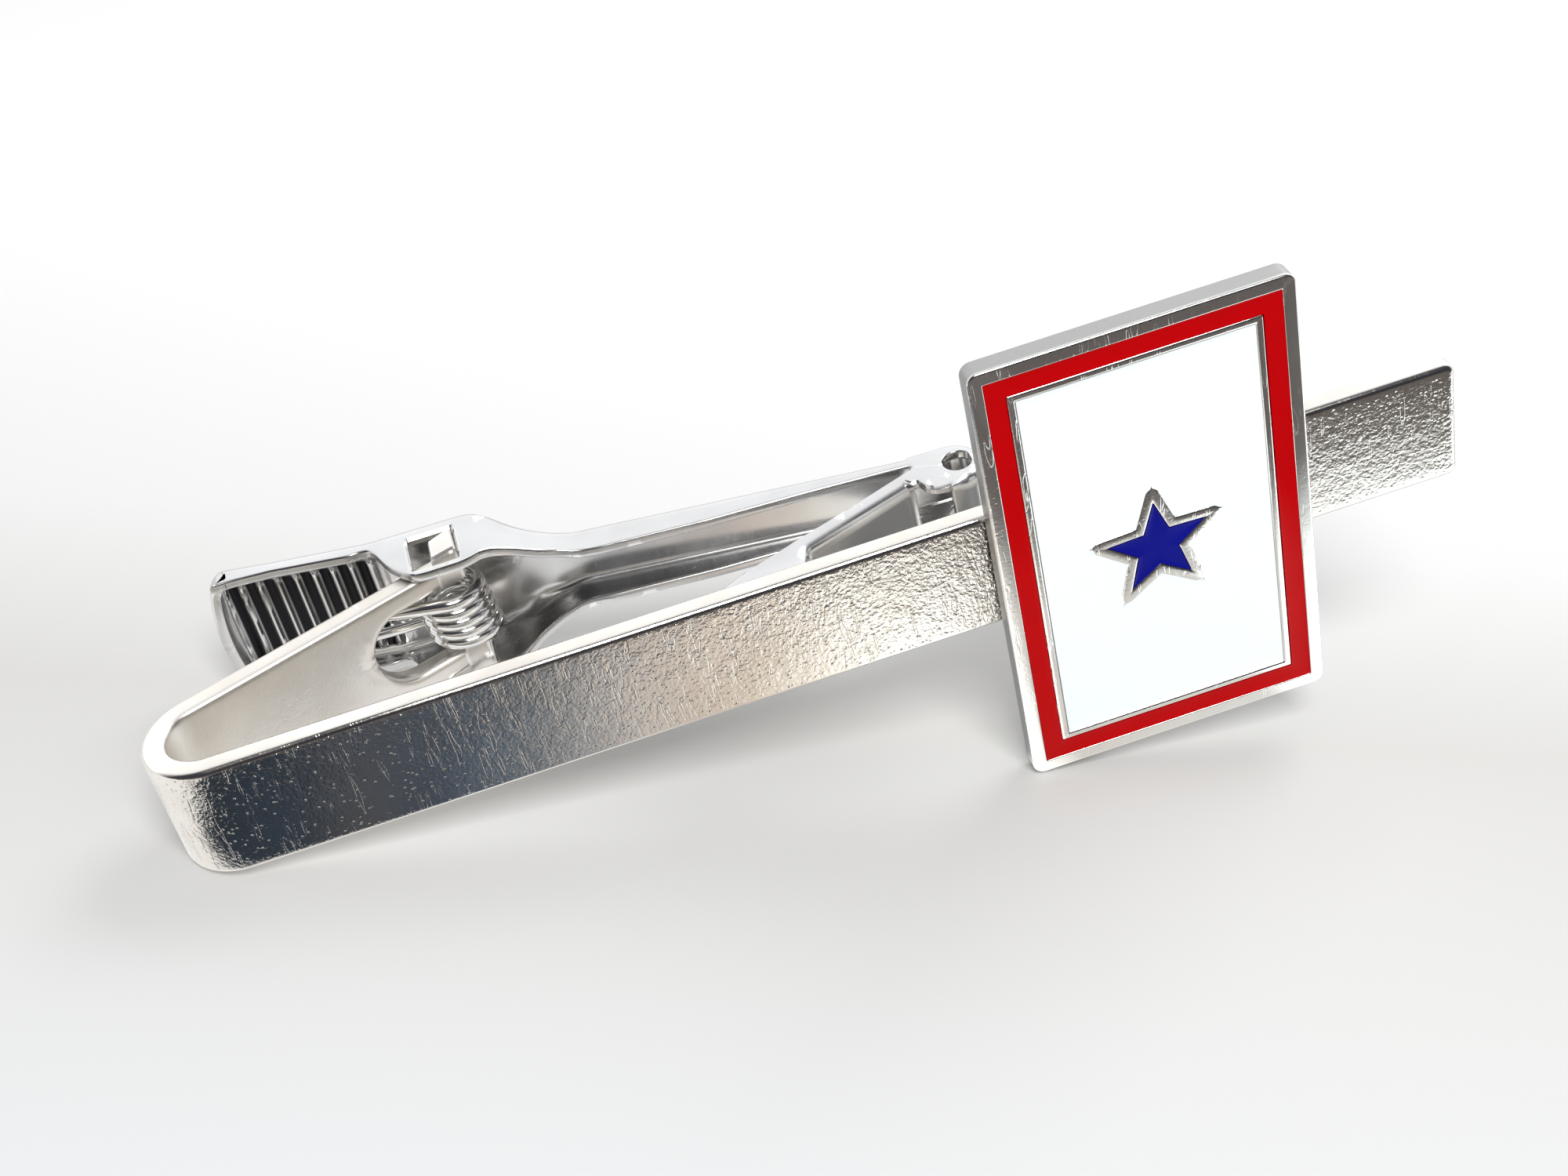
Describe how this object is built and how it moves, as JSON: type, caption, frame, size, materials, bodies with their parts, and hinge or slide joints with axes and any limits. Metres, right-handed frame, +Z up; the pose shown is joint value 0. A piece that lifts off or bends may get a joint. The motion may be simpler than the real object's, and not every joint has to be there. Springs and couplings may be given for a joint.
{
  "type": "tie bar",
  "caption": "Hairpin tie bar with a sprung alligator lever behind it and a tall enamelled badge soldered across its front.",
  "frame": {"origin": "on the bar's back face, in the middle of the grip under the jaw's sole", "axes": "+X along the bar from the bend to the open end, +Y out of the bar's back face towards the lever, +Z up the badge; the badge faces -Y"},
  "size_m": [0.055, 0.0146, 0.0206],
  "materials": {
    "plated_strip": "bright nickel plate over rolled brass strip, with a fine orange peel",
    "plated_sheet": "bright nickel plate over thin pressed sheet",
    "spring_wire": "drawn wire, plated with the clip",
    "badge_metal": "plated die-struck metal, polished lines and satin edges",
    "red_enamel": "glossy opaque enamel",
    "white_enamel": "glossy opaque enamel",
    "blue_enamel": "glossy opaque enamel",
    "solder": "dull soft solder"
  },
  "bodies": {
    "frame": {"clip_strip": "plated_strip", "badge_plate": "badge_metal", "enamel_border": "red_enamel", "enamel_field": "white_enamel", "enamel_star": "blue_enamel", "badge_solder": "solder", "torsion_spring": "spring_wire"},
    "lever": {"spring_lever": "plated_sheet"}
  },
  "joints": [
    {"name": "jaw_hinge", "type": "hinge", "parent": "frame", "child": "lever", "pos_m": [-0.0109, 0.00928, 0], "axis": [0, 0, 1], "range_deg": [0, 24], "stiffness_Nm_per_rad": 0.04, "springref_deg": -34.38, "deforming": ["torsion_spring"]}
  ]
}
